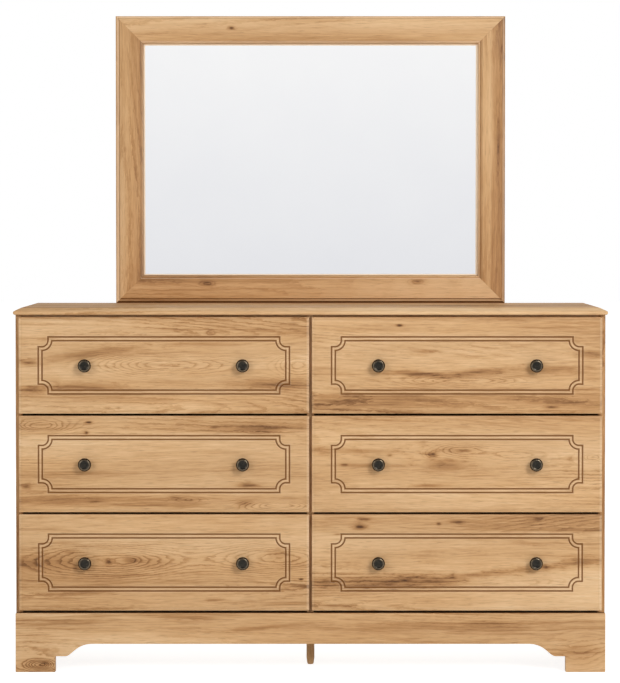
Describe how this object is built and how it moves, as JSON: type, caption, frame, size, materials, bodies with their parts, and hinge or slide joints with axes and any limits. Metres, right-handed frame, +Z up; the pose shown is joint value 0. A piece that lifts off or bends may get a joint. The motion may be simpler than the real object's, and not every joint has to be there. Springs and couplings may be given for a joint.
{
  "type": "dresser with mirror",
  "caption": "Low double dresser on bracket feet, with sliding drawers on steel side runners, round knobs and a rectangular framed mirror standing on its top.",
  "frame": {"origin": "on the floor, at the centre of the outline, knobs and mirror supports included", "axes": "+Z up, +X to the right of someone facing the drawers, +Y to the back, so the drawers open towards -Y"},
  "size_m": [1.5, 0.435, 1.687],
  "materials": {
    "oak_decor": "satin printed oak decor on board",
    "box_board": "matt laminated board",
    "hardboard": "matt hardboard",
    "runner_steel": "zinc plated",
    "aged_bronze": "aged bronze",
    "mirror_glass": "silvered glass"
  },
  "bodies": {
    "case": {"top_panel": "oak_decor", "left_side_panel": "oak_decor", "right_side_panel": "oak_decor", "centre_divider": "oak_decor", "front_plinth": "oak_decor", "centre_leg": "oak_decor", "mirror_top_rail": "oak_decor", "mirror_bottom_rail": "oak_decor", "mirror_left_stile": "oak_decor", "mirror_right_stile": "oak_decor", "front_top_rails": "oak_decor", "bottom_panel": "box_board", "rear_top_rails": "box_board", "rear_middle_rails": "box_board", "plinth_corner_blocks": "box_board", "mirror_support_left": "box_board", "mirror_support_right": "box_board", "back_panel": "hardboard", "mirror_backboard": "hardboard", "mirror_glass": "mirror_glass", "case_runners_bottom": "runner_steel", "case_runners_middle": "runner_steel", "case_runners_top": "runner_steel"},
    "drawer_top_left": {"drawer_front_top_left": "oak_decor", "drawer_sides_top_left": "box_board", "drawer_back_top_left": "box_board", "drawer_bottom_top_left": "hardboard", "drawer_knobs_top_left": "aged_bronze", "drawer_runners_top_left": "runner_steel"},
    "drawer_top_right": {"drawer_front_top_right": "oak_decor", "drawer_sides_top_right": "box_board", "drawer_back_top_right": "box_board", "drawer_bottom_top_right": "hardboard", "drawer_knobs_top_right": "aged_bronze", "drawer_runners_top_right": "runner_steel"},
    "drawer_middle_left": {"drawer_front_middle_left": "oak_decor", "drawer_sides_middle_left": "box_board", "drawer_back_middle_left": "box_board", "drawer_bottom_middle_left": "hardboard", "drawer_knobs_middle_left": "aged_bronze", "drawer_runners_middle_left": "runner_steel"},
    "drawer_middle_right": {"drawer_front_middle_right": "oak_decor", "drawer_sides_middle_right": "box_board", "drawer_back_middle_right": "box_board", "drawer_bottom_middle_right": "hardboard", "drawer_knobs_middle_right": "aged_bronze", "drawer_runners_middle_right": "runner_steel"},
    "drawer_bottom_left": {"drawer_front_bottom_left": "oak_decor", "drawer_sides_bottom_left": "box_board", "drawer_back_bottom_left": "box_board", "drawer_bottom_bottom_left": "hardboard", "drawer_knobs_bottom_left": "aged_bronze", "drawer_runners_bottom_left": "runner_steel"},
    "drawer_bottom_right": {"drawer_front_bottom_right": "oak_decor", "drawer_sides_bottom_right": "box_board", "drawer_back_bottom_right": "box_board", "drawer_bottom_bottom_right": "hardboard", "drawer_knobs_bottom_right": "aged_bronze", "drawer_runners_bottom_right": "runner_steel"}
  },
  "joints": [
    {"name": "slide_top_left", "type": "slide", "parent": "case", "child": "drawer_top_left", "axis": [0, -1, 0], "range_m": [0, 0.25]},
    {"name": "slide_top_right", "type": "slide", "parent": "case", "child": "drawer_top_right", "axis": [0, -1, 0], "range_m": [0, 0.25]},
    {"name": "slide_middle_left", "type": "slide", "parent": "case", "child": "drawer_middle_left", "axis": [0, -1, 0], "range_m": [0, 0.25]},
    {"name": "slide_middle_right", "type": "slide", "parent": "case", "child": "drawer_middle_right", "axis": [0, -1, 0], "range_m": [0, 0.25]},
    {"name": "slide_bottom_left", "type": "slide", "parent": "case", "child": "drawer_bottom_left", "axis": [0, -1, 0], "range_m": [0, 0.25]},
    {"name": "slide_bottom_right", "type": "slide", "parent": "case", "child": "drawer_bottom_right", "axis": [0, -1, 0], "range_m": [0, 0.25]}
  ]
}
